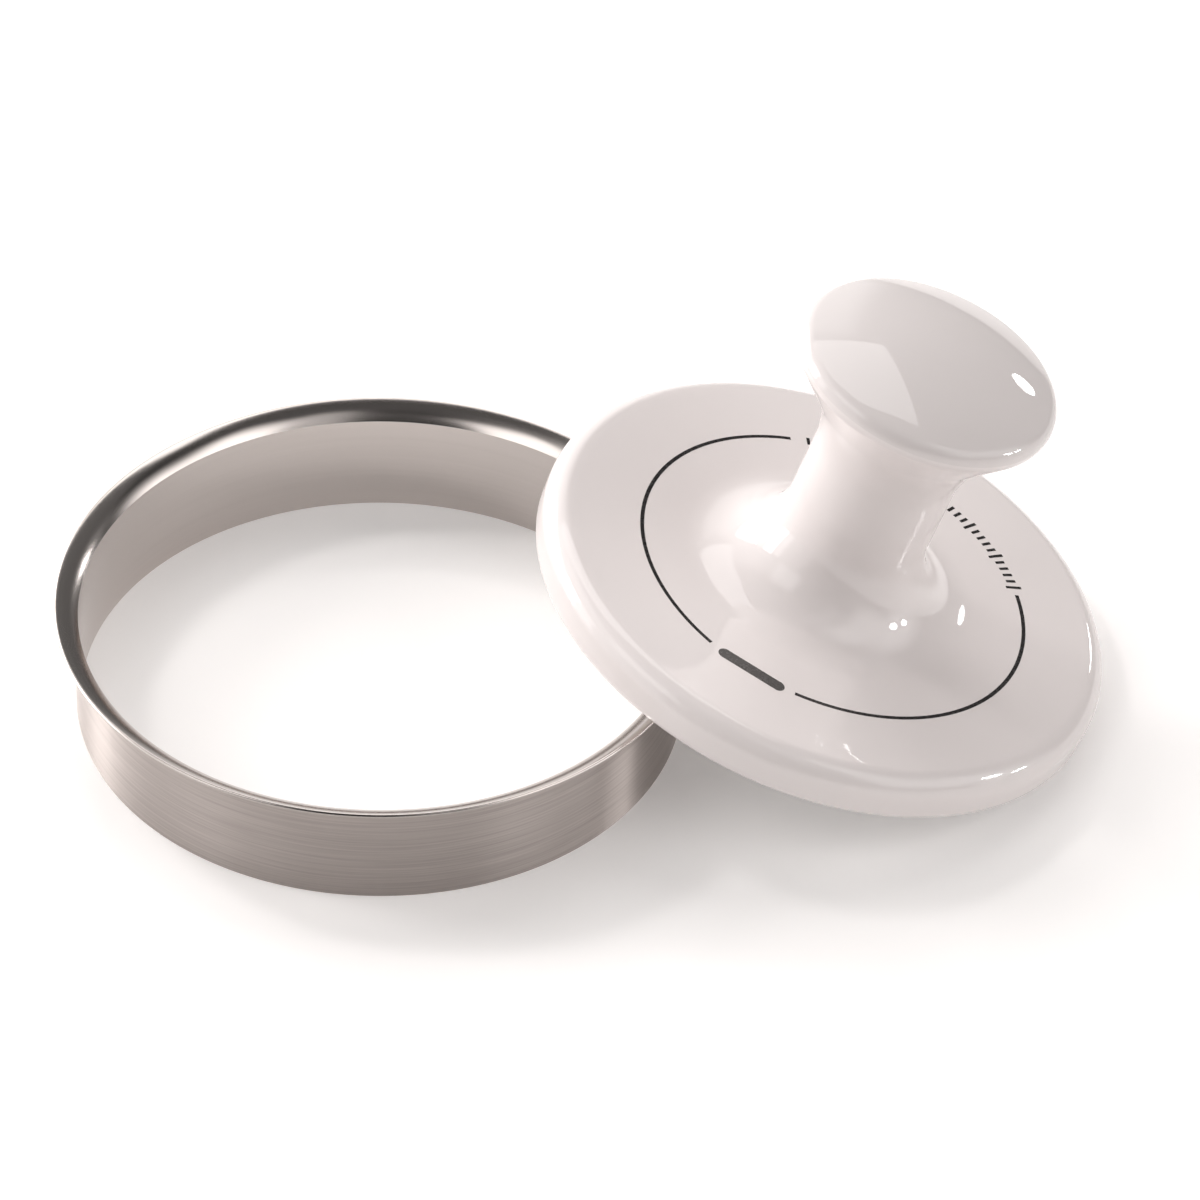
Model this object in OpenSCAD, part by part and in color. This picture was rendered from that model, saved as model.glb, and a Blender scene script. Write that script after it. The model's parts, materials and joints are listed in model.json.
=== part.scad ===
// Patty press: a steel ring mould and a hand stamp that leans on the ring's rim.
// The stamp is drawn upright, its pressing face at z = 0, and then leaned into place.

/* [Ring mould] */
// Inner diameter of the straight wall
bore_d = 111.2; // [105:0.2:118]
// Thickness of the steel sheet
sheet_t = 0.8; // [0.6:0.1:1.2]
// Height of the ring over its lip
ring_h = 22.6; // [20:0.2:30]
// How far the lip reaches out beyond the wall
lip_reach = 3.6; // [2.6:0.2:5]

/* [Stamp disc] */
// Radial gap between the stamp and the ring's wall
fit_gap = 0.5; // [0.3:0.1:1]
// Thickness of the disc from its top face to the ridge tips
disc_h = 9; // [8.5:0.5:12]
// Radius of the disc's upper edge
disc_edge_r = 4.2; // [2:0.2:4.6]
// Wall thickness of the white mouldings
shell_t = 2.4; // [2:0.1:2.8]

/* [Handle] */
// Diameter of the neck at its narrowest
neck_d = 27.6; // [26:0.2:32]
// Radius of the curve from the disc up into the neck
flare_r = 15; // [13:0.5:16]
// Radius of the curve from the neck out into the knob
bell_r = 20.5; // [18:0.5:22]
// Widest diameter of the knob
knob_d = 49.4; // [46:0.2:56]
// Height of the handle above the disc's top face
handle_h = 56.5; // [54:0.5:66]
// Height of the knob's cap above the widest line
cap_rise = 7; // [6:0.5:9]

/* [Pressing plate] */
// Distance between neighbouring ridges
ridge_pitch = 12; // [10:0.5:14]
// Height of a ridge
ridge_h = 2.6; // [1.6:0.2:2.8]
// Turn from locked to released, in degrees
plate_turn = 40; // [36:1:50]

/* [Resting place] */
// Tilt of the stamp as it leans on the ring, in degrees
lean_tilt = 17.5; // [15:0.5:20]
// How far the stamp stands to the side of the ring's centre line
lean_side = 10; // [0:1:14]

/* [Hidden] */
$fn = 96;

// Ring
bore_r = bore_d / 2;
lip_r = bore_r + sheet_t + lip_reach;
lip_slope_in = 48;
lip_slope_out = 18;
lip_curve_r = (lip_reach + sheet_t / 2 - sheet_t / 2 * sin(lip_slope_out))
            / (sin(lip_slope_in) - sin(lip_slope_out));
lip_edge_z = ring_h - sheet_t / 2;
crease_z = lip_edge_z + lip_curve_r * cos(lip_slope_in)
         - (lip_curve_r - sheet_t / 2) * cos(lip_slope_out);
lip_centre = [bore_r + lip_curve_r * sin(lip_slope_in),
              crease_z - lip_curve_r * cos(lip_slope_in)];
lip_under_r = lip_curve_r - sheet_t;
lip_under_slope = asin((lip_centre.x - bore_r - sheet_t) / lip_under_r);

// Stamp disc, with the skirt that goes round the pressing plate
disc_r = bore_r - fit_gap;
skirt_r = disc_r - 2.5;
foot_r = 1.5;
roof_z = disc_h - shell_t;

// Handle
neck_r = neck_d / 2;
flare_centre = [neck_r + flare_r, disc_h + flare_r];
bell_slope = 38.5;
knob_r = knob_d / 2;
knob_edge_r = 3;
seam_z = disc_h + handle_h - cap_rise;
cone_run = (knob_r - knob_edge_r + knob_edge_r * cos(bell_slope)
         - neck_r - bell_r + bell_r * cos(bell_slope)) / sin(bell_slope);
bell_z = seam_z - (knob_edge_r + bell_r) * sin(bell_slope) - cone_run * cos(bell_slope);
bell_centre = [neck_r + bell_r, bell_z];
knob_edge_centre = [knob_r - knob_edge_r, seam_z];

// Knob cap: its dome meets the rounded edge in one smooth curve
dome_r = (pow(knob_edge_centre.x, 2) + pow(cap_rise, 2) - pow(knob_edge_r, 2))
       / (2 * (cap_rise - knob_edge_r));
dome_centre = [0, seam_z + cap_rise - dome_r];
dome_turn = atan2(seam_z - dome_centre.y, knob_edge_centre.x);
spigot_r = knob_r - 5.1;
spigot_h = 3;
spigot_t = 2.2;
slip = 0.1;

// Screw that pulls the cap down onto the web across the neck
neck_bore_r = neck_r - 2.6;
web_z = [30, 33];
screw_r = 2.45;
screw_hole_r = 2.75;
screw_head_r = 4.6;
screw_head_h = 3;
screw_tip_z = 45;
hex_r = 2.3;
hex_depth = 2;
washer_r = 6;
washer_h = 1;
boss_r = 5.8;
insert_r = 3.6;
insert_bore_r = 2.55;
insert_h = 10;
screw_pocket_z = 48;

// Seal in the land under the cap
seal_r = [spigot_r + 1.4, spigot_r + 3];
seal_h = 1.3;

// Pressing plate and its bayonet hub
plate_r = skirt_r - 0.3;
plate_t = 2;
plate_top = ridge_h + plate_t;
ridge_base_w = 5.6;
ridge_tip_w = 2.2;
ridge_rows = floor((plate_r - ridge_base_w / 2) / ridge_pitch);
seat_gap = 0.05;
hub_r = neck_bore_r - slip;
hub_t = 2.3;
hub_top = 14;
lug_reach = 1.4;
lug_h = 2.2;
lug_arc = 28;
lug_play = 0.5;
entry_play = 0.4;
lug_count = 3;
tube_r = neck_bore_r + 3;
rib_count = 12;
rib_t = 1.8;
rib_gap = 0.4;
weld = 0.4;

// Where the leaning stamp stands: its foot on the table, its face on the lip
lean_gap = 0.05;
stamp_z = (disc_r - foot_r) * sin(lean_tilt) + foot_r * (1 - cos(lean_tilt));
stamp_x = lip_r - sheet_t / 2
        + (sheet_t / 2 + lean_gap - (stamp_z - lip_edge_z) * cos(lean_tilt)) / sin(lean_tilt);
reach_x = stamp_x + disc_edge_r + (disc_r - disc_edge_r) * cos(lean_tilt)
        + (disc_h - disc_edge_r) * sin(lean_tilt);
mid_x = (reach_x - lip_r) / 2;
mid_y = (max(lip_r, lean_side + disc_r) - lip_r) / 2;

steel = [0.72, 0.72, 0.71];
white = [0.93, 0.92, 0.91];

function arc(c, r, from, to, steps = 16) =
    [for (i = [0:steps]) let (a = from + (to - from) * i / steps) c + r * [cos(a), sin(a)]];

module at_ring() {
    translate([-mid_x, -mid_y, 0])
        children();
}

module at_stamp() {
    translate([stamp_x - mid_x, lean_side - mid_y, stamp_z])
        rotate([0, lean_tilt, 0])
            children();
}

// A tube with a flat top and bottom
module tube(outer_r, inner_r, from_z, to_z) {
    translate([0, 0, from_z])
        difference() {
            cylinder(r = outer_r, h = to_z - from_z);
            translate([0, 0, -1])
                cylinder(r = inner_r, h = to_z - from_z + 2);
        }
}

// Part of a turn of a rectangular section
module sector(inner_r, outer_r, from_z, to_z, from_a, to_a) {
    rotate([0, 0, from_a])
        rotate_extrude(angle = to_a - from_a)
            translate([inner_r, from_z])
                square([outer_r - inner_r, to_z - from_z]);
}

// One turn of sheet: straight wall, crisp crease and flared lip with a round edge
module mould_ring() {
    upper = arc(lip_centre, lip_curve_r, 90 + lip_slope_in, 90 + lip_slope_out);
    edge = arc(lip_centre + (lip_curve_r - sheet_t / 2) * [-sin(lip_slope_out), cos(lip_slope_out)],
               sheet_t / 2, 90 + lip_slope_out, lip_slope_out - 90);
    lower = arc(lip_centre, lip_under_r, 90 + lip_slope_out, 90 + lip_under_slope);
    color(steel)
        at_ring()
            rotate_extrude()
                polygon(concat([[bore_r + sheet_t, 0], [bore_r, 0]], upper, edge, lower));
}

// White moulding: disc, skirt, neck and the bell under the knob, hollow inside
module stamp_shell() {
    outside = concat(
        arc([disc_r - foot_r, foot_r], foot_r, -90, 0, 8),
        arc([disc_r - disc_edge_r, disc_h - disc_edge_r], disc_edge_r, 0, 90, 12),
        arc(flare_centre, flare_r, 270, 180),
        arc(bell_centre, bell_r, 180, 180 - bell_slope),
        arc(knob_edge_centre, knob_edge_r, -bell_slope, 0, 6));
    mouth_r = spigot_r + slip;
    bell_in = bell_centre + (bell_r + 2.6) * [-cos(bell_slope), sin(bell_slope)];
    land = [[seal_r[1], seam_z], [seal_r[1], seam_z - seal_h],
            [seal_r[0], seam_z - seal_h], [seal_r[0], seam_z], [mouth_r, seam_z],
            [mouth_r, bell_in.y + (mouth_r - bell_in.x) / tan(bell_slope)]];
    web = [[neck_bore_r, web_z[1]], [screw_hole_r, web_z[1]],
           [screw_hole_r, web_z[0]], [neck_bore_r, web_z[0]]];
    pocket_r = flare_r + shell_t;
    pocket_a = 180 + acos((flare_centre.x - tube_r) / pocket_r);
    inside = concat(
        land,
        arc(bell_centre, bell_r + 2.6, 180 - bell_slope, 180),
        web,
        [[neck_bore_r, plate_top + seat_gap], [tube_r, plate_top + seat_gap]],
        arc(flare_centre, pocket_r, pocket_a, 270),
        [[skirt_r, roof_z], [skirt_r, 0]]);
    lug_low = hub_top - lug_h - slip;
    lug_half = lug_arc / 2 + lug_play;
    color(white)
        at_stamp()
            difference() {
                union() {
                    rotate_extrude()
                        polygon(concat(outside, inside));
                    for (i = [0:rib_count - 1])
                        rotate([0, 0, 360 / rib_count * (i + 0.5)])
                            rib(pocket_r - weld, pocket_a);
                }
                for (i = [0:lug_count - 1])
                    rotate([0, 0, 360 / lug_count * i]) {
                        sector(hub_r - 1, hub_r + lug_reach + slip, lug_low, hub_top + slip,
                               -lug_half, plate_turn + lug_half);
                        sector(hub_r - 1, hub_r + lug_reach + entry_play, plate_top - 1,
                               hub_top + entry_play, plate_turn - lug_half,
                               plate_turn + lug_half + lug_play);
                    }
            }
}

// Rib between the disc's roof and the pressing plate
module rib(roof_curve_r, from_a) {
    low = plate_top + rib_gap;
    side = concat(
        [[skirt_r + weld, low], [skirt_r + weld, roof_z + weld]],
        arc(flare_centre, roof_curve_r, 270, from_a + 4, 8),
        [[tube_r - weld, flare_centre.y + roof_curve_r * sin(from_a)], [tube_r - weld, low]]);
    rotate([90, 0, 0])
        linear_extrude(height = rib_t, center = true)
            polygon(side);
}

// White cap: dome, spigot into the bell, and the boss that the screw pulls on
module knob_cap() {
    dome_in_r = dome_r - shell_t;
    spigot_in = spigot_r - spigot_t;
    spigot_in_a = acos(spigot_in / dome_in_r);
    boss_a = acos(boss_r / dome_in_r);
    outside = concat(
        arc(knob_edge_centre, knob_edge_r, 0, dome_turn, 10),
        arc(dome_centre, dome_r, dome_turn, 90));
    boss = [[0, screw_pocket_z], [screw_hole_r, screw_pocket_z],
            [screw_hole_r, web_z[1] + insert_h], [insert_r, web_z[1] + insert_h],
            [insert_r, web_z[1]], [boss_r, web_z[1]]];
    spigot = [[spigot_in, seam_z - spigot_h], [spigot_r, seam_z - spigot_h], [spigot_r, seam_z]];
    color(white)
        at_stamp()
            rotate_extrude()
                polygon(concat(outside, boss,
                               arc(dome_centre, dome_in_r, boss_a, spigot_in_a), spigot));
}

// Flat sealing ring in the land
module cap_seal() {
    color("dimgray")
        at_stamp()
            tube(seal_r[1], seal_r[0], seam_z - seal_h, seam_z);
}

// Brass insert in the foot of the cap's boss
module thread_insert() {
    color("goldenrod")
        at_stamp()
            tube(insert_r, insert_bore_r, web_z[1], web_z[1] + insert_h);
}

// Cap screw with a hexagon socket, driven from below
module tie_screw() {
    head_z = web_z[0] - washer_h - screw_head_h;
    color(steel)
        at_stamp()
            difference() {
                union() {
                    translate([0, 0, head_z])
                        cylinder(r = screw_head_r, h = screw_head_h);
                    translate([0, 0, head_z])
                        cylinder(r = screw_r, h = screw_tip_z - head_z);
                }
                translate([0, 0, head_z - 1])
                    cylinder(r = hex_r, h = hex_depth + 1, $fn = 6);
            }
}

module screw_washer() {
    color(steel)
        at_stamp()
            tube(washer_r, screw_hole_r, web_z[0] - washer_h, web_z[0]);
}

// White plate with straight ridges below and a bayonet hub above
module pressing_plate() {
    ridge = [[-ridge_tip_w / 2, 0], [ridge_tip_w / 2, 0],
             [ridge_base_w / 2, ridge_h + weld], [-ridge_base_w / 2, ridge_h + weld]];
    color(white)
        at_stamp() {
            translate([0, 0, ridge_h])
                cylinder(r = plate_r, h = plate_t);
            intersection() {
                cylinder(r = plate_r, h = plate_top);
                for (i = [-ridge_rows:ridge_rows])
                    translate([-plate_r, i * ridge_pitch, 0])
                        rotate([90, 0, 90])
                            linear_extrude(height = 2 * plate_r)
                                polygon(ridge);
            }
            tube(hub_r, hub_r - hub_t, plate_top - weld, hub_top);
            for (i = [0:lug_count - 1])
                sector(hub_r - weld, hub_r + lug_reach, hub_top - lug_h, hub_top,
                       360 / lug_count * i - lug_arc / 2, 360 / lug_count * i + lug_arc / 2);
        }
}

mould_ring();
stamp_shell();
knob_cap();
cap_seal();
thread_insert();
tie_screw();
screw_washer();
pressing_plate();
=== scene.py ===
"""Patty press: a brushed steel ring mould and a gloss white hand stamp leaning on its rim.

Lengths are in millimetres and angles in degrees unless a comment says metres; MM turns
millimetres into Blender's metres.
Every visible piece is turned or drawn in mesh code round one of two axes taken from the
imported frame: the ring's upright axis and the stamp's own leaning axis.
"""
import json
import math

import bmesh
import bpy
from mathutils import Matrix, Quaternion, Vector


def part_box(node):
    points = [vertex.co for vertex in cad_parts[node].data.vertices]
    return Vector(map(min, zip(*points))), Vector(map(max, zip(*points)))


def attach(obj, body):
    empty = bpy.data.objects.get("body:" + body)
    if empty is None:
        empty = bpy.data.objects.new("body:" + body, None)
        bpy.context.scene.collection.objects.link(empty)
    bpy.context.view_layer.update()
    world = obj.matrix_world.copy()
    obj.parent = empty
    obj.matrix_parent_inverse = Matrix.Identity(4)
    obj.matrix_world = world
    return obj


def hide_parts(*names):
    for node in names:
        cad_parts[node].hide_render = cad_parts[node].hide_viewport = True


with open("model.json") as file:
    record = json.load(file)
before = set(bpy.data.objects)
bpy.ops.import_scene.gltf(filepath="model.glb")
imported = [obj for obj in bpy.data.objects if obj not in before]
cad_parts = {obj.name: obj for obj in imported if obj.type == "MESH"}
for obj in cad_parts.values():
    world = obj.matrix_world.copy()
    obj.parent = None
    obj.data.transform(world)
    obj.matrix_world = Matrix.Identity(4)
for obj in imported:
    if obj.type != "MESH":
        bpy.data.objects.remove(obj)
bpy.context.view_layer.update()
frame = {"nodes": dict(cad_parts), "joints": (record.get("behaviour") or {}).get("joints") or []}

MM = 0.001

# ---------------------------------------------------------------- driving sizes
# Ring mould
SHEET = 0.8                # thickness of the steel
LIP_REACH = 3.6            # how far the lip stands out past the wall
LIP_SLOPES = (48, 18)      # slope of the lip at the crease and at its edge
CUT_EASE = 0.15            # rounding of the sheet's lower cut edge

# Stamp disc and handle
FIT_GAP = 0.5              # between the disc and the ring's bore
DISC_H = 9
DISC_EDGE_R = 4.2
FOOT_R = 1.5
SHELL_T = 2.4
SKIRT_T = 2.5
NECK_R = 13.8
FLARE_R = 15               # curve from the disc up into the neck
BELL_R = 20.5              # curve from the neck out into the knob
BELL_SLOPE = 38.5
BELL_T = 2.6               # wall of the neck and the bell
KNOB_R = 24.7
KNOB_EDGE_R = 3
HANDLE_H = 56.5
CAP_RISE = 7

# Inside the stamp
SPIGOT_INSET = 5.1
SPIGOT_R = KNOB_R - SPIGOT_INSET
SPIGOT_H = 3
SPIGOT_T = 2.2
SLIP = 0.1                 # play of parts that slide in each other
TUBE_T = 3                 # wall of the tube round the plate's hub
WEB_Z = (30, 33)           # web across the neck, which the screw's head bears on
SCREW_HOLE_R = 2.75
BOSS_R = 5.8
INSERT_R = 3.6
INSERT_H = 10
SCREW_POCKET_Z = 48
SEAL_IN, SEAL_OUT, SEAL_H = SPIGOT_R + 1.4, SPIGOT_R + 3, 1.3
RIBS = 12
RIB_HALF_TURN = 1.6
RIB_GAP = 0.4

# Pressing plate with its twist lock
PLATE_GAP = 0.3
PLATE_T = 2
RIDGE_H = 2.6
RIDGE_PITCH = 12
RIDGE_BASE = 5.6
RIDGE_TIP = 2.2
RIDGE_EASE = 0.5
SEAT_GAP = 0.05
HUB_T = 2.3
HUB_TOP = 14
LUGS = 3
LUG_REACH = 1.4
LUG_H = 2.2
LUG_HALF_TURN = 14
LUG_PLAY = 0.5             # play of a lug along its slot, in degrees
ENTRY_PLAY = 0.4
PLATE_TURN = 40            # turn from locked to free

# Printed circle on the disc, broken at the front by a plain bar and at the right by a
# plain scale
PRINT_R = 37.6
PRINT_CENTRE = (0.5, -0.15)
PRINT_LINE = 0.76
PRINT_PROUD = 0.02
PRINT_STEP = 1.25          # turn from one point of a printed line to the next
PRINT_BAR = (-125.6, -104.5)       # start and end round the circle
PRINT_SCALE = (17.5, 100.5)
GAP_TURN = 3.2             # gap in the line at each end of the bar and the scale
BAR_WIDTH = 2.6
BAR_END_STEPS = 10
BAR_TIP = 0.02             # the bar's width at its very ends, as a part of its full width
TICK_TURN = 2.6            # from one tick of the scale to the next
TICK_HALF_TURN = 0.5
TICK_LONG, TICK_SHORT = 3.2, 2.0
TICKS_PER_LONG = 5

# ---------------------------------------------------------------- places, from the frame
ring_lo, ring_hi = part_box("mould_ring")
RING_PLACE = Matrix.Translation(((ring_lo.x + ring_hi.x) / 2, (ring_lo.y + ring_hi.y) / 2, 0))
RING_H = ring_hi.z / MM
LIP_R = (ring_hi.x - ring_lo.x) / 2 / MM
BORE_R = LIP_R - LIP_REACH - SHEET

plate_joint = next(j for j in frame["joints"] if j["child"] == "plate")
stamp_up = Vector(plate_joint["axis"]).normalized()
stamp_right = Vector((0, 1, 0)).cross(stamp_up)
STAMP_PLACE = Matrix.Translation(plate_joint["pos_m"]) @ Matrix(
    (stamp_right, (0, 1, 0), stamp_up)).transposed().to_4x4()

DISC_R = BORE_R - FIT_GAP
SKIRT_R = DISC_R - SKIRT_T
ROOF_Z = DISC_H - SHELL_T
NECK_BORE_R = NECK_R - BELL_T
TUBE_R = NECK_BORE_R + TUBE_T
PLATE_R = SKIRT_R - PLATE_GAP
PLATE_TOP = RIDGE_H + PLATE_T
RIDGES_PER_SIDE = math.floor((PLATE_R - RIDGE_BASE / 2) / RIDGE_PITCH)
HUB_R = NECK_BORE_R - SLIP
SEAM_Z = DISC_H + HANDLE_H - CAP_RISE
KNOB_EDGE = (KNOB_R - KNOB_EDGE_R, SEAM_Z)

# Slots that hold the lugs, the wider entries that let them in, and the ribs, round the turn
LUG_SPACING = 360 / LUGS
RIB_SPACING = 360 / RIBS
SLOT_MID = PLATE_TURN / 2
SLOT_HALF = PLATE_TURN / 2 + LUG_HALF_TURN + LUG_PLAY
SLOT_Z = (HUB_TOP - LUG_H - SLIP, HUB_TOP + SLIP)
ENTRY_MID = PLATE_TURN + LUG_PLAY / 2
ENTRY_HALF = LUG_HALF_TURN + LUG_PLAY * 1.5
PLAIN_ANGLE = LUG_SPACING * 0.75     # clear of every slot, entry and rib


# ---------------------------------------------------------------- profiles
ON_AXIS = 1e-6             # nearer the axis than this counts as on it
LONGEST_RUN = 1.5


def cosd(a):
    return math.cos(math.radians(a))


def sind(a):
    return math.sin(math.radians(a))


def arc(centre, r, start, end, step=2.5):
    """Points of an arc in the profile plane, about one every step degrees."""
    n = max(2, math.ceil(abs(end - start) / step))
    turns = [start + (end - start) * i / n for i in range(n + 1)]
    return [(centre[0] + r * cosd(a), centre[1] + r * sind(a)) for a in turns]


def spread(points, like=None):
    """The closed loop again, with long straight runs cut into short ones for even shading.
    The cuts are those that the loop called like would get."""
    like = like or points
    out = []
    for (r0, z0), (r1, z1), (a0, b0), (a1, b1) in zip(
            points, points[1:] + points[:1], like, like[1:] + like[:1]):
        on_axis = a0 < ON_AXIS and a1 < ON_AXIS
        n = 1 if on_axis else max(1, math.ceil(math.hypot(a1 - a0, b1 - b0) / LONGEST_RUN))
        out += [(r0 + (r1 - r0) * i / n, z0 + (z1 - z0) * i / n) for i in range(n)]
    return out


def ring_profile():
    """One turn of sheet: straight wall, crisp crease, flared lip with a round edge."""
    steep, flat = LIP_SLOPES
    curve_r = (LIP_REACH + SHEET / 2 * (1 - sind(flat))) / (sind(steep) - sind(flat))
    edge_z = RING_H - SHEET / 2
    crease_z = edge_z + curve_r * cosd(steep) - (curve_r - SHEET / 2) * cosd(flat)
    centre = (BORE_R + curve_r * sind(steep), crease_z - curve_r * cosd(steep))
    under_r = curve_r - SHEET
    under = math.degrees(math.asin((centre[0] - BORE_R - SHEET) / under_r))
    bead_r = curve_r - SHEET / 2
    bead = (centre[0] - bead_r * sind(flat), centre[1] + bead_r * cosd(flat))
    inner_foot = (BORE_R + CUT_EASE, CUT_EASE)
    outer_foot = (BORE_R + SHEET - CUT_EASE, CUT_EASE)
    return spread(
        arc(outer_foot, CUT_EASE, 0, -90, step=30)
        + arc(inner_foot, CUT_EASE, 270, 180, step=30)
        + arc(centre, curve_r, 90 + steep, 90 + flat)
        + arc(bead, SHEET / 2, 90 + flat, flat - 90, step=12)
        + arc(centre, under_r, 90 + flat, 90 + under))


def bell_centre():
    """Centre of the curve from the neck out into the knob, so that a straight cone
    runs on from it to the knob's rounded edge."""
    cone = (KNOB_EDGE[0] + KNOB_EDGE_R * cosd(BELL_SLOPE)
            - NECK_R - BELL_R + BELL_R * cosd(BELL_SLOPE)) / sind(BELL_SLOPE)
    z = SEAM_Z - (KNOB_EDGE_R + BELL_R) * sind(BELL_SLOPE) - cone * cosd(BELL_SLOPE)
    return (NECK_R + BELL_R, z)


def shell_outside():
    """The stamp from the disc's foot up over its rim, the neck and the bell to the seam."""
    flare = (NECK_R + FLARE_R, DISC_H + FLARE_R)
    return (
        arc((DISC_R - FOOT_R, FOOT_R), FOOT_R, -90, 0, step=7.5)
        + arc((DISC_R - DISC_EDGE_R, DISC_H - DISC_EDGE_R), DISC_EDGE_R, 0, 90, step=4)
        + arc(flare, FLARE_R, 270, 180)
        + arc(bell_centre(), BELL_R, 180, 180 - BELL_SLOPE)
        + arc(KNOB_EDGE, KNOB_EDGE_R, -BELL_SLOPE, 0, step=4))


def off_by(value, every, start=0.0):
    """How far a value is from the nearest of a set spaced evenly, one of them at start."""
    return abs((value - start + every / 2) % every - every / 2)


def shell_profile(angle):
    """The shell's section at an angle: its slots for the lugs and its ribs come and go."""
    mouth = SPIGOT_R + SLIP
    bell = bell_centre()
    inner = BELL_R + BELL_T
    start = (bell[0] - inner * cosd(BELL_SLOPE), bell[1] + inner * sind(BELL_SLOPE))
    shoulder = start[1] + (mouth - start[0]) / math.tan(math.radians(BELL_SLOPE))
    land = [(SEAL_OUT, SEAM_Z), (SEAL_OUT, SEAM_Z - SEAL_H), (SEAL_IN, SEAM_Z - SEAL_H),
            (SEAL_IN, SEAM_Z), (mouth, SEAM_Z), (mouth, shoulder)]
    web = [(NECK_BORE_R, WEB_Z[1]), (SCREW_HOLE_R, WEB_Z[1]),
           (SCREW_HOLE_R, WEB_Z[0]), (NECK_BORE_R, WEB_Z[0])]

    in_slot = off_by(angle, LUG_SPACING, SLOT_MID) < SLOT_HALF
    in_entry = off_by(angle, LUG_SPACING, ENTRY_MID) < ENTRY_HALF
    slot_r = HUB_R + LUG_REACH + SLIP if in_slot else NECK_BORE_R
    entry_r = HUB_R + LUG_REACH + ENTRY_PLAY if in_entry else NECK_BORE_R
    entry_z = HUB_TOP + ENTRY_PLAY
    foot_z = PLATE_TOP + SEAT_GAP
    bore = [(NECK_BORE_R, entry_z), (entry_r, entry_z),
            (entry_r, SLOT_Z[1]), (max(slot_r, entry_r), SLOT_Z[1]),
            (max(slot_r, entry_r), SLOT_Z[0]), (entry_r, SLOT_Z[0]), (entry_r, foot_z)]

    flare = (NECK_R + FLARE_R, DISC_H + FLARE_R)
    pocket_r = FLARE_R + SHELL_T
    pocket_turn = 180 + math.degrees(math.acos((flare[0] - TUBE_R) / pocket_r))
    roof = arc(flare, pocket_r, pocket_turn, 270) + [(SKIRT_R, ROOF_Z)]
    if off_by(angle, RIB_SPACING, RIB_SPACING / 2) < RIB_HALF_TURN:
        roof = [(r, PLATE_TOP + RIB_GAP) for r, _ in roof]
    return (shell_outside() + land + arc(bell, inner, 180 - BELL_SLOPE, 180)
            + web + bore + [(TUBE_R, foot_z)] + roof + [(SKIRT_R, 0)])


def cap_profile():
    """Dome, spigot into the bell, and the boss that the screw pulls on."""
    edge_x = KNOB_EDGE[0]
    dome_r = (edge_x ** 2 + CAP_RISE ** 2 - KNOB_EDGE_R ** 2) / (2 * (CAP_RISE - KNOB_EDGE_R))
    dome = (0, SEAM_Z + CAP_RISE - dome_r)
    turn = math.degrees(math.atan2(SEAM_Z - dome[1], edge_x))
    inner = dome_r - SHELL_T
    spigot_in = SPIGOT_R - SPIGOT_T
    outside = (arc(KNOB_EDGE, KNOB_EDGE_R, 0, turn, step=4)
               + arc(dome, dome_r, turn, 90, step=0.75))
    outside[-1] = (0, outside[-1][1])
    insert_top = WEB_Z[1] + INSERT_H
    boss = [(0, SCREW_POCKET_Z), (SCREW_HOLE_R, SCREW_POCKET_Z), (SCREW_HOLE_R, insert_top),
            (INSERT_R, insert_top), (INSERT_R, WEB_Z[1]), (BOSS_R, WEB_Z[1])]
    roof = arc(dome, inner, math.degrees(math.acos(BOSS_R / inner)),
               math.degrees(math.acos(spigot_in / inner)), step=0.75)
    spigot = [(spigot_in, SEAM_Z - SPIGOT_H), (SPIGOT_R, SEAM_Z - SPIGOT_H), (SPIGOT_R, SEAM_Z)]
    return spread(outside + boss + roof + spigot)


# ---------------------------------------------------------------- meshes
TURN_STEPS = 288
STEP_TURN = 0.02           # half the width of the steep face at the side of a slot, rib or lug
WELD = 1e-5                # points nearer than this become one
SHARP_EDGE = 32            # edges that turn by more than this shade as creases
EASE_STEPS = 3             # steps in half of a ridge's rounded corner
THINNEST_STRIP = 0.02


def edges_of(spacing, mid, half):
    """The two angles either side of each edge of a feature repeated round the turn."""
    count = round(360 / spacing)
    return [i * spacing + mid + side * half + nudge for i in range(count)
            for side in (-1, 1) for nudge in (-STEP_TURN, STEP_TURN)]


def columns(extra=()):
    """Even angles round the turn, with the extra ones let in between them."""
    extra = sorted({round(a % 360, 4) for a in extra})
    even = [360 * i / TURN_STEPS for i in range(TURN_STEPS)]
    even = [a for a in even
            if all(min(abs(a - b), 360 - abs(a - b)) > 2 * STEP_TURN for b in extra)]
    return sorted(even + extra)


def finish_mesh(bm, name, place):
    """Turns a bmesh in millimetres into a smooth-shaded object. Its place is in its mesh."""
    bm.transform(place @ Matrix.Scale(MM, 4))
    bmesh.ops.recalc_face_normals(bm, faces=bm.faces)
    mesh = bpy.data.meshes.new(name)
    bm.to_mesh(mesh)
    bm.free()
    mesh.shade_smooth()
    mesh.set_sharp_from_angle(angle=math.radians(SHARP_EDGE))
    obj = bpy.data.objects.new(name, mesh)
    bpy.context.scene.collection.objects.link(obj)
    return obj


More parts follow.
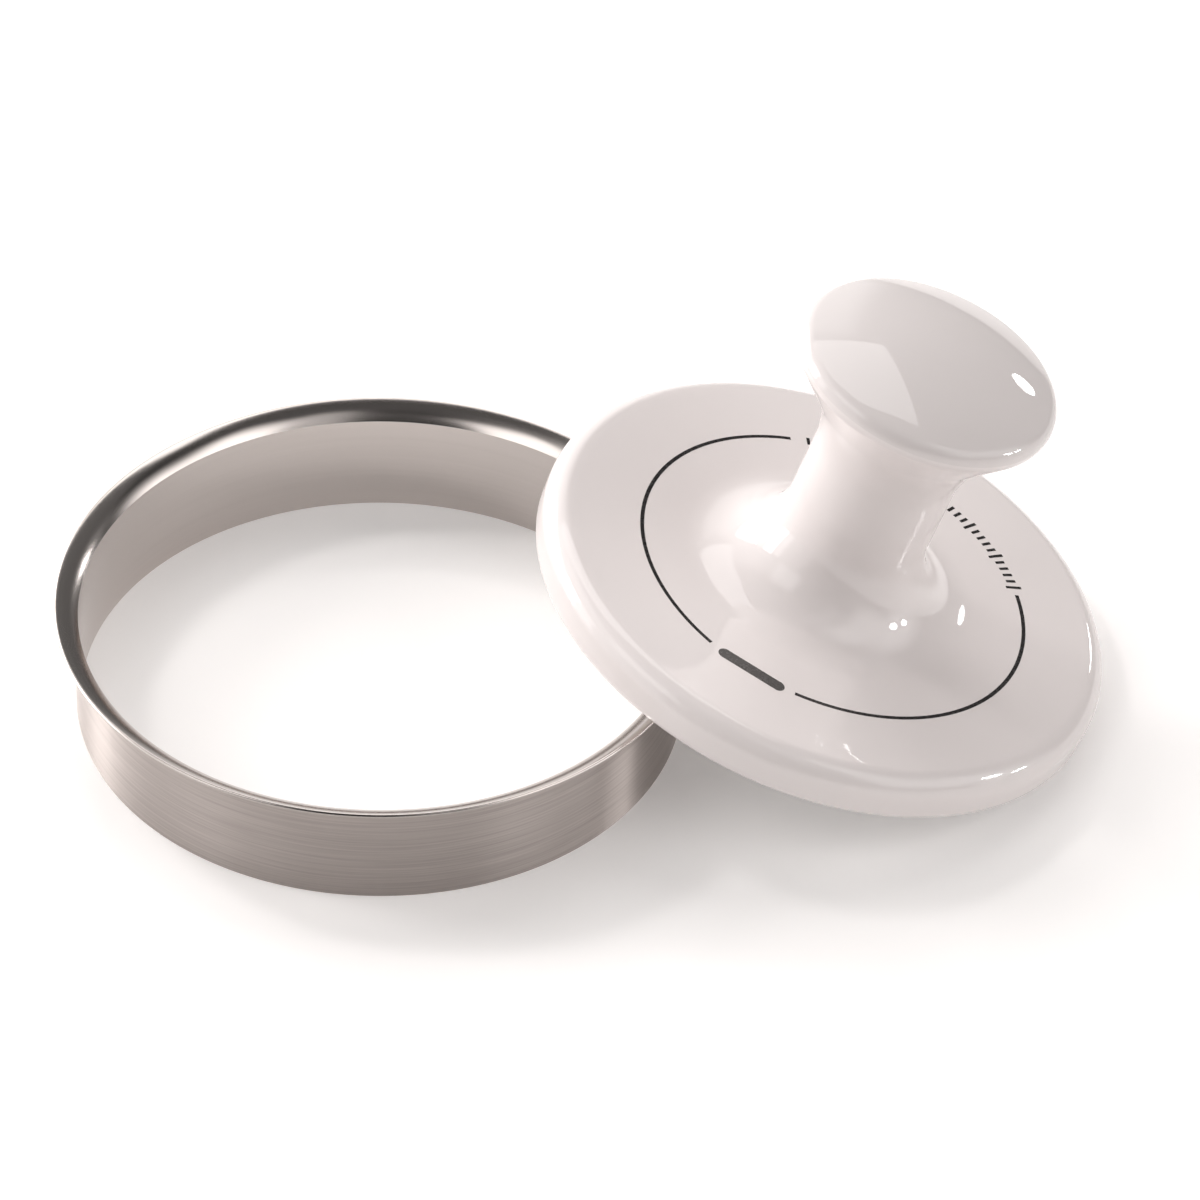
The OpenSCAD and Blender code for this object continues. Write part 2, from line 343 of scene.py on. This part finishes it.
def turned(name, profile_at, place, angles=None):
    """The closed solid whose section at each angle is profile_at(angle).
    Points on the axis are shared by every angle."""
    angles = angles or columns()
    bm = bmesh.new()
    sections = [profile_at(a) for a in angles]
    rows = []
    for i, (r, z) in enumerate(sections[0]):
        if r < ON_AXIS:
            rows.append([bm.verts.new((0, 0, z))] * len(angles))
        else:
            rows.append([bm.verts.new((s[i][0] * cosd(a), s[i][0] * sind(a), s[i][1]))
                         for s, a in zip(sections, angles)])
    for row, after in zip(rows, rows[1:] + rows[:1]):
        for j in range(len(angles)):
            k = (j + 1) % len(angles)
            corners = list(dict.fromkeys((row[j], row[k], after[k], after[j])))
            if len(corners) > 2:
                bm.faces.new(corners)
    bmesh.ops.remove_doubles(bm, verts=bm.verts, dist=WELD)
    return finish_mesh(bm, name, place)


def ridge_z(y):
    """Height of the plate's lower face above the ridge tips, with softened corners."""
    d = off_by(y, RIDGE_PITCH)
    if abs(y) > (RIDGES_PER_SIDE + 0.5) * RIDGE_PITCH:
        d = RIDGE_PITCH / 2
    flank = (RIDGE_BASE - RIDGE_TIP) / 2
    t = (d - RIDGE_TIP / 2) / flank
    ease = RIDGE_EASE / flank

    def soft(v):
        """0 below zero, v above it, with a rounded corner between."""
        return 0 if v < -ease else v if v > ease else (v + ease) ** 2 / (4 * ease)
    return RIDGE_H * (soft(t) - soft(t - 1))


def plate_rim():
    """Angles of the rim's points from the front round the right to the back: the ends of
    the strips along the ridges, and both sides of each lug edge."""
    half_steps = TURN_STEPS // 2
    ys = {round(PLATE_R * sind(-90 + 180 * i / half_steps), 4) for i in range(half_steps + 1)}
    offsets = {side * (corner + RIDGE_EASE * k / EASE_STEPS)
               for corner in (RIDGE_TIP / 2, RIDGE_BASE / 2)
               for k in range(-EASE_STEPS, EASE_STEPS + 1) for side in (-1, 1)}
    ys |= {round(i * RIDGE_PITCH + o, 4)
           for i in range(-RIDGES_PER_SIDE, RIDGES_PER_SIDE + 1) for o in offsets}
    ys = sorted(y for y in ys if abs(y) <= PLATE_R)
    thinned = [ys[0]]
    for y in ys[1:]:
        if y - thinned[-1] > THINNEST_STRIP:
            thinned.append(y)
    thinned[-1] = PLATE_R
    right = [math.degrees(math.asin(max(-1, min(1, y / PLATE_R)))) for y in thinned]
    lug_edges = [(a + 90) % 360 - 90 for a in edges_of(LUG_SPACING, 0, LUG_HALF_TURN)]
    right += [a for a in lug_edges if -90 < a < 90] + [180 - a for a in lug_edges if a > 90]
    return sorted(set(round(a, 5) for a in right))


def plate_section(angle):
    """The plate's upper side from its rim in over the hub, short of its centre."""
    at_lug = off_by(angle, LUG_SPACING) < LUG_HALF_TURN
    lug_r = HUB_R + LUG_REACH if at_lug else HUB_R
    bore = HUB_R - HUB_T
    return [(PLATE_R, PLATE_TOP), (HUB_R, PLATE_TOP), (HUB_R, HUB_TOP - LUG_H),
            (lug_r, HUB_TOP - LUG_H), (lug_r, HUB_TOP), (bore, HUB_TOP), (bore, PLATE_TOP)]


def pressing_plate():
    """Ridged below, flat above, with the hub and its lugs. The lower face is drawn in
    straight strips along the ridges, the rest is turned, and they share the rim."""
    right = plate_rim()
    angles = right + [180 - a for a in reversed(right[1:-1])]
    bm = bmesh.new()
    foot = [bm.verts.new((PLATE_R * cosd(a), PLATE_R * sind(a), ridge_z(PLATE_R * sind(a))))
            for a in angles]
    rings = [foot]
    for points in zip(*(plate_section(a) for a in angles)):
        rings.append([bm.verts.new((r * cosd(a), r * sind(a), z))
                      for (r, z), a in zip(points, angles)])
    rings.append([bm.verts.new((0, 0, PLATE_TOP))] * len(angles))
    for row, after in zip(rings, rings[1:]):
        for j in range(len(angles)):
            k = (j + 1) % len(angles)
            bm.faces.new(list(dict.fromkeys((row[j], row[k], after[k], after[j]))))
    n = len(right)
    left = [foot[0]] + [foot[-i] for i in range(1, n - 1)] + [foot[n - 1]]
    for i in range(n - 1):
        bm.faces.new(list(dict.fromkeys((foot[i], foot[i + 1], left[i + 1], left[i]))))
    bmesh.ops.remove_doubles(bm, verts=bm.verts, dist=WELD)
    return finish_mesh(bm, "pressing_plate_ridged", STAMP_PLACE)


def ink(name, patches):
    """Printed marks: each patch is a list of (angle, inner radius, outer radius), drawn as a
    closed film that stands a hair proud of the disc."""
    bm = bmesh.new()
    low, high = DISC_H - PRINT_PROUD, DISC_H + PRINT_PROUD
    for patch in patches:
        quads = [[bm.verts.new((PRINT_CENTRE[0] + r * cosd(a), PRINT_CENTRE[1] + r * sind(a), z))
                  for r, z in ((r0, low), (r1, low), (r1, high), (r0, high))]
                 for a, r0, r1 in patch]
        for here, there in zip(quads, quads[1:]):
            for i in range(4):
                j = (i + 1) % 4
                bm.faces.new((here[i], here[j], there[j], there[i]))
        bm.faces.new(quads[0])
        bm.faces.new(quads[-1])
    return finish_mesh(bm, name, STAMP_PLACE)


def band(start, end, width):
    """A patch along the printed circle, of even width and with square ends."""
    n = max(1, round(abs(end - start) / PRINT_STEP))
    return [(start + (end - start) * i / n, PRINT_R - width / 2, PRINT_R + width / 2)
            for i in range(n + 1)]


def pill(start, end, width):
    """A patch along the printed circle with round ends."""
    end_turn = math.degrees(width / 2 / PRINT_R)
    turns = [90 * i / BAR_END_STEPS for i in range(BAR_END_STEPS + 1)]
    near = [(start + end_turn * (1 - cosd(t)), max(sind(t), BAR_TIP) * width / 2)
            for t in turns]
    far = [(start + end - a, half) for a, half in reversed(near)]
    return [(a, PRINT_R - half, PRINT_R + half) for a, half in near + far]


# ---------------------------------------------------------------- materials
NOISE_LOW, NOISE_HIGH = 0.3, 0.7     # where nearly all of a noise texture's values lie


class Nodes:
    """Short calls for building a node tree."""

    def __init__(self, tree):
        self.tree = tree
        tree.nodes.clear()

    def add(self, kind, inputs=None, **settings):
        """A new node; an input is a plain value or the socket that feeds it."""
        node = self.tree.nodes.new("ShaderNode" + kind)
        for key, value in settings.items():
            setattr(node, key, value)
        for key, value in (inputs or {}).items():
            if isinstance(value, bpy.types.NodeSocket):
                self.tree.links.new(value, node.inputs[key])
            else:
                node.inputs[key].default_value = value
        return node

    def math(self, operation, *values):
        return self.add("Math", dict(enumerate(values)), operation=operation).outputs[0]

    def remap(self, value, low, high, out_low, out_high, smooth=False):
        kind = "SMOOTHSTEP" if smooth else "LINEAR"
        return self.add("MapRange", {"Value": value, "From Min": low, "From Max": high,
                                     "To Min": out_low, "To Max": out_high},
                        interpolation_type=kind).outputs["Result"]

    def noise(self, stretch, detail):
        """Noise over the object's own coordinates, with about stretch bumps a metre."""
        where = self.add("TexCoord").outputs["Object"]
        where = self.add("Mapping", {"Vector": where, "Scale": stretch}).outputs[0]
        return self.add("TexNoise", {"Vector": where, "Scale": 1.0,
                                     "Detail": detail}).outputs["Fac"]

    def vary(self, noise, low, high):
        """Noise turned into a value that runs from low to high."""
        return self.remap(noise, NOISE_LOW, NOISE_HIGH, low, high)

    def bump(self, height, distance, normal=None):
        """A normal tilted by height, whose full range is distance metres."""
        inputs = {"Height": height, "Distance": distance, "Strength": 1.0}
        if normal is not None:
            inputs["Normal"] = normal
        return self.add("Bump", inputs).outputs[0]

    def tint(self, factor, dark, light):
        """A colour between dark and light. A Mix node keeps its colours at 6 and 7."""
        mix = self.add("Mix", {0: factor, 6: (*dark, 1), 7: (*light, 1)}, data_type="RGBA")
        return mix.outputs[2]

    def blend(self, factor, below, above):
        """A number between below and above, which a Mix node keeps at 2 and 3."""
        return self.add("Mix", {0: factor, 2: below, 3: above}, data_type="FLOAT").outputs[0]

    def dot(self, vector, direction):
        """How far the vector points along the direction."""
        return self.add("VectorMath", {0: vector, 1: direction},
                        operation="DOT_PRODUCT").outputs["Value"]


def material(name, build):
    """A Principled material with the inputs that build(nodes) gives."""
    mat = bpy.data.materials.new(name)
    mat.use_nodes = True
    nodes = Nodes(mat.node_tree)
    surface = nodes.add("BsdfPrincipled", build(nodes))
    output = nodes.add("OutputMaterial")
    nodes.tree.links.new(surface.outputs[0], output.inputs["Surface"])
    return mat


def brushed_steel(n):
    """Fine grooves run round the wall, so highlights stretch up and down it."""
    streak = n.vary(n.noise((40, 40, 3200), 3), 0, 1)
    broad = n.noise((14, 14, 160), 2)
    tangent = n.add("Tangent", direction_type="RADIAL", axis="Z").outputs[0]
    return {
        "Base Color": n.tint(streak, (0.370, 0.331, 0.314), (0.485, 0.439, 0.416)),
        "Metallic": 1.0,
        "Roughness": n.remap(n.math("ADD", streak, broad), 0.4, 1.6, 0.31, 0.37),
        "Anisotropic": 1.0,
        "Anisotropic Rotation": 0.25,
        "Tangent": tangent,
        "Normal": n.bump(streak, 0.000001),
    }


def polished_steel(n):
    """Mirror-like, with the faint rings of the polishing wheel and a slightly uneven sheet."""
    rings = n.noise((10, 10, 1500), 3)
    waves = n.noise((22, 22, 30), 1)
    return {
        "Base Color": n.tint(rings, (0.56, 0.515, 0.49), (0.62, 0.575, 0.55)),
        "Metallic": 1.0,
        "Roughness": n.vary(rings, 0.16, 0.24),
        "Normal": n.bump(waves, 0.0002, normal=n.bump(rings, 0.000003)),
    }


def gloss_white(painted_shade_factor):
    """High-gloss moulded plastic: a hard clear reflection over a faintly cloudy body.
    A factor below 1 darkens it evenly as painted shade; the knob's cap takes such a darker copy."""
    def build(n):
        cloud = n.noise((60, 60, 60), 3)
        flow = n.noise((45, 45, 45), 1)
        dark = [c * painted_shade_factor for c in (0.745, 0.695, 0.684)]
        light = [c * painted_shade_factor for c in (0.765, 0.715, 0.704)]
        return {
            "Base Color": n.tint(cloud, dark, light),
            "Roughness": n.vary(cloud, 0.015, 0.035),
            "IOR": 1.52,
            "Normal": n.bump(flow, 0.0001),
        }
    return build


def satin_white(n):
    """The pressing plate's plastic, less glossy and with a fine mould grain."""
    grain = n.noise((900, 900, 900), 3)
    cloud = n.noise((40, 40, 40), 2)
    return {
        "Base Color": n.tint(cloud, (0.79, 0.775, 0.765), (0.83, 0.815, 0.805)),
        "Roughness": n.vary(cloud, 0.24, 0.34),
        "IOR": 1.5,
        "Normal": n.bump(grain, 0.00001),
    }


def printed_ink(shade):
    """Pad-printed ink, a little uneven."""
    def build(n):
        speckle = n.noise((700, 700, 700), 2)
        dark = [c * 0.95 for c in shade]
        return {
            "Base Color": n.tint(speckle, dark, shade),
            "Roughness": n.vary(speckle, 0.24, 0.30),
            "Normal": n.bump(speckle, 0.000002),
        }
    return build


def seal_rubber(n):
    """Dull black rubber."""
    grain = n.noise((1800, 1800, 1800), 4)
    return {
        "Base Color": n.tint(grain, (0.06, 0.06, 0.065), (0.10, 0.10, 0.105)),
        "Roughness": n.vary(grain, 0.55, 0.8),
        "Normal": n.bump(grain, 0.00002),
    }


def machined(dark, light, roughness):
    """Turned metal: fine tool lines square to the screw's axis."""
    def build(n):
        lines = n.noise((500, 500, 4000), 3)
        return {
            "Base Color": n.tint(lines, dark, light),
            "Metallic": 1.0,
            "Roughness": n.vary(lines, roughness - 0.06, roughness + 0.06),
            "Normal": n.bump(lines, 0.000008),
        }
    return build


TABLE_GLOW = 0.12


def floor_white(n):
    """A plain white studio table, lit a little from below."""
    return {"Base Color": (0.95, 0.93, 0.92, 1), "Roughness": 0.6,
            "Specular IOR Level": 0.2, "Emission Color": (1, 1, 1, 1),
            "Emission Strength": TABLE_GLOW}


# ---------------------------------------------------------------- the object
# The knob's cap is the same white plastic as the shell, made darker as painted shade
CAP_PAINTED_SHADE = 0.90
WALL_UPRIGHT = 0.99        # a face that looks outward at least this squarely is wall
white = material("gloss_white", gloss_white(1.0))
white_cap_painted_shade = material("gloss_white_cap_painted_shade", gloss_white(CAP_PAINTED_SHADE))


def place(obj, body, *mats, slot=None, stands_for=()):
    """Gives a piece its materials and its body, and hides the CAD nodes it stands for. Its slot
    is not used.
    """
    for mat in mats:
        obj.data.materials.append(mat)
    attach(obj, body)
    if stands_for:
        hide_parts(*stands_for)


# Ring: brushed outside, polished inside and over the lip
ring = turned("mould_ring_sheet", lambda a, p=ring_profile(): p, RING_PLACE)
for face in ring.data.polygons:
    from_axis = face.center - RING_PLACE.translation
    outward = face.normal.dot(Vector((from_axis.x, from_axis.y, 0)).normalized())
    is_wall = outward > WALL_UPRIGHT and CUT_EASE * MM < face.center.z
    face.material_index = 0 if is_wall else 1
place(ring, "ring", material("brushed_steel", brushed_steel),
      material("polished_steel", polished_steel), slot="ring_steel", stands_for=["mould_ring"])

# Stamp: shell, cap and pressing plate
shell_angles = columns(edges_of(LUG_SPACING, SLOT_MID, SLOT_HALF)
                       + edges_of(LUG_SPACING, ENTRY_MID, ENTRY_HALF)
                       + edges_of(RIB_SPACING, RIB_SPACING / 2, RIB_HALF_TURN))
plain_section = shell_profile(PLAIN_ANGLE)
shell = turned("stamp_shell_moulding", lambda a: spread(shell_profile(a), plain_section),
               STAMP_PLACE, shell_angles)
place(shell, "stamp", white, slot="white_gloss", stands_for=["stamp_shell"])

cap = turned("knob_cap_dome", lambda a, p=cap_profile(): p, STAMP_PLACE)
place(cap, "stamp", white_cap_painted_shade, slot="white_gloss", stands_for=["knob_cap"])

place(pressing_plate(), "plate", material("satin_white", satin_white), slot="white_plate",
      stands_for=["pressing_plate"])

# Print
black = material("printed_black", printed_ink((0.018, 0.016, 0.016)))
grey = material("printed_grey", printed_ink((0.07, 0.066, 0.064)))
circle = ink("printed_circle", [
    band(PRINT_SCALE[1] + GAP_TURN, 360 + PRINT_BAR[0] - GAP_TURN, PRINT_LINE),
    band(PRINT_BAR[1] + GAP_TURN, PRINT_SCALE[0] - GAP_TURN, PRINT_LINE)])
place(circle, "stamp", black)
place(ink("printed_bar", [pill(*PRINT_BAR, BAR_WIDTH)]), "stamp", grey)
tick_count = int((PRINT_SCALE[1] - PRINT_SCALE[0]) / TICK_TURN)
ticks = []
for i in range(tick_count + 1):
    mid = PRINT_SCALE[0] + TICK_TURN * i
    length = TICK_SHORT if i % TICKS_PER_LONG else TICK_LONG
    ticks.append(band(mid - TICK_HALF_TURN, mid + TICK_HALF_TURN, length))
place(ink("printed_scale", ticks), "stamp", black)

# CAD nodes that show as they are
for node, mat in (
        ("cap_seal", material("seal_rubber", seal_rubber)),
        ("thread_insert", material("turned_brass", machined((0.62, 0.44, 0.18),
                                                            (0.83, 0.64, 0.32), 0.28))),
        ("tie_screw", material("zinc_steel", machined((0.50, 0.51, 0.52),
                                                      (0.70, 0.71, 0.73), 0.3))),
        ("screw_washer", material("washer_steel", machined((0.52, 0.53, 0.54),
                                                           (0.72, 0.73, 0.75), 0.34)))):
    for material_slot in frame["nodes"][node].material_slots:
        material_slot.material = mat

# ---------------------------------------------------------------- floor, light and camera
FLOOR_HALF = 8.0           # metres
floor_mesh = bpy.data.meshes.new("floor")
floor_mesh.from_pydata([(x * FLOOR_HALF, y * FLOOR_HALF, 0)
                        for x, y in ((-1, -1), (1, -1), (1, 1), (-1, 1))], [], [(0, 1, 2, 3)])
floor_mesh.materials.append(material("floor_white", floor_white))
floor = bpy.data.objects.new("floor", floor_mesh)
bpy.context.scene.collection.objects.link(floor)

CAMERA_TARGET = Vector((2.89, 26.47, 0)) * MM
CAMERA_AZIMUTH = 0.58      # to the right of straight in front
CAMERA_ELEVATION = 39.9
CAMERA_DISTANCE = 1140.4
CAMERA_ROLL = 2.03
CAMERA_LENS = 180
CAMERA_CLIP = (0.05, 40)   # metres


def toward(azimuth, elevation):
    """Unit vector from the object. Azimuth 0 is behind it, 90 to its right."""
    return Vector((sind(azimuth) * cosd(elevation), cosd(azimuth) * cosd(elevation),
                   sind(elevation)))


camera = bpy.data.objects.new("camera", bpy.data.cameras.new("camera"))
bpy.context.scene.collection.objects.link(camera)
camera_back = toward(180 - CAMERA_AZIMUTH, CAMERA_ELEVATION)
camera.location = CAMERA_TARGET + camera_back * CAMERA_DISTANCE * MM
camera.rotation_mode = "QUATERNION"
camera.rotation_quaternion = ((-camera_back).to_track_quat("-Z", "Y")
                              @ Quaternion((0, 0, 1), math.radians(CAMERA_ROLL)))
camera.data.lens = CAMERA_LENS
camera.data.clip_start, camera.data.clip_end = CAMERA_CLIP
bpy.context.scene.camera = camera

WARM = (1.0, 0.98, 0.97)     # colour of all the studio's light


def lamp(name, azimuth, elevation, distance, size, watts, glint=False):
    """A round studio lamp aimed at the object; distance and size are in metres. It lights
    without being reflected, and a glint is the reverse: only a reflection, that no piece
    is in the way of."""
    data = bpy.data.lights.new(name, "AREA")
    data.shape = "DISK"
    data.size = size
    data.energy = watts
    data.color = WARM
    data.use_shadow = not glint
    obj = bpy.data.objects.new(name, data)
    bpy.context.scene.collection.objects.link(obj)
    way = toward(azimuth, elevation)
    obj.location = way * distance
    obj.rotation_mode = "QUATERNION"
    obj.rotation_quaternion = way.to_track_quat("Z", "Y")
    obj.visible_camera = False
    obj.visible_glossy = glint
    obj.visible_diffuse = not glint


# Three that throw the soft shadows, one that fills from the front, and four glints
lamp("lamp_back", -8.7, 44.6, 1.7, 0.12, 1.1)
lamp("lamp_back_left", -24, 41, 1.7, 0.16, 1.5)
lamp("lamp_left", -59.5, 49.6, 1.7, 0.28, 4.2)
lamp("fill_front", 180, 60, 1.7, 1.0, 1.2)
lamp("glint_behind", 42.7, 18.0, 0.7, 0.062, 0.15, glint=True)
lamp("glint_right", 96, 17, 0.4, 0.045, 0.14, glint=True)
lamp("glint_wall", 87, 9, 1.7, 0.16, 2.9, glint=True)
lamp("glint_left", -53, 33, 1.7, 0.07, 0.25, glint=True)

# Studio surround: a faint wash of light that grows towards the left and behind, and cards
# hung in front of it
WASH_FROM = (-65, 35)      # azimuth and elevation
WASH_SPREAD = (-0.7, 0.9)  # cosines of the angles from there at which it fades out and in
WASH_DIM, WASH_BRIGHT = 0.02, 0.08
# Each card: azimuth, half width, lowest and highest elevation, softness of its edges, glow
CARDS = (
    (-120, 22, 34, 60, 5, 2.2),    # high panel at the left, in front
    (-113, 19, 0, 34, 3, 1.1),     # its lower half
    (-60, 34, 34, 58, 3, 0.9),     # left, above the soft boxes
    (-60, 34, 0, 34, 1, 2.6),      # gap between the soft boxes
    (-74, 7, 0, 34, 0.6, 11),      # soft boxes at the left, behind
    (-40, 12, 0, 34, 1.5, 5.4),
    (-9, 17, 0, 41, 4, 1.1),       # behind
    (34, 26, 0, 50, 2, 0.15),      # dark gap behind, at the right
    (90, 14, 0, 40, 8, 2.2),       # right
    (118, 20, 14, 60, 8, 2.2),     # right, in front
    (148, 14, 34, 72, 5, 0.7),     # high in front, at the right
    (0, 180, 74, 90, 3, 0.08),     # dark ceiling
)
# One straight-edged panel overhead: its corners as azimuth and elevation, and its glow
PANEL = ((16, 41), (59, 60), (-25, 68), (-28, 42))
PANEL_SOFT = 0.008
PANEL_GLOW = 2.3


def studio_world():
    """The surround as the object sees it; the camera sees plain white instead."""
    world = bpy.data.worlds.new("studio")
    bpy.context.scene.world = world
    world.use_nodes = True
    n = Nodes(world.node_tree)
    way = n.add("TexCoord").outputs["Generated"]
    parts = n.add("SeparateXYZ", {0: way}).outputs
    height = n.math("MULTIPLY", n.math("ARCSINE", parts["Z"]), math.degrees(1))
    near_wash = n.dot(way, toward(*WASH_FROM))
    glow = n.remap(near_wash, *WASH_SPREAD, WASH_DIM, WASH_BRIGHT, smooth=True)
    for azimuth, half, low, high, soft, card_glow in CARDS:
        turned_way = n.add("VectorRotate", {"Vector": way, "Angle": math.radians(azimuth)},
                           rotation_type="Z_AXIS").outputs[0]
        side = n.add("SeparateXYZ", {0: turned_way}).outputs
        angle = n.math("MULTIPLY", n.math("ARCTAN2", side["X"], side["Y"]), math.degrees(1))
        across = n.remap(n.math("ABSOLUTE", angle), half + soft, half - soft, 0, 1)
        mid, reach = (low + high) / 2, (high - low) / 2
        away = n.math("ABSOLUTE", n.math("SUBTRACT", height, mid))
        up = n.remap(away, reach + soft, reach - soft, 0, 1)
        cover = n.math("MULTIPLY", across, up)
        glow = n.blend(cover, glow, card_glow)
    cover = 1.0
    for here, there in zip(PANEL, PANEL[1:] + PANEL[:1]):
        edge = toward(*there).cross(toward(*here)).normalized()
        cover = n.math("MULTIPLY", cover, n.remap(n.dot(way, edge), 0, PANEL_SOFT, 0, 1))
    glow = n.blend(cover, glow, PANEL_GLOW)
    studio = n.add("Background", {"Color": (*WARM, 1), "Strength": glow})
    plain = n.add("Background", {"Color": (1, 1, 1, 1), "Strength": 1.0})
    seen = n.add("LightPath").outputs["Is Camera Ray"]
    mix = n.add("MixShader", {0: seen, 1: studio.outputs[0], 2: plain.outputs[0]})
    n.tree.links.new(mix.outputs[0], n.add("OutputWorld").inputs["Surface"])


studio_world()
bpy.context.scene.view_settings.view_transform = "Standard"
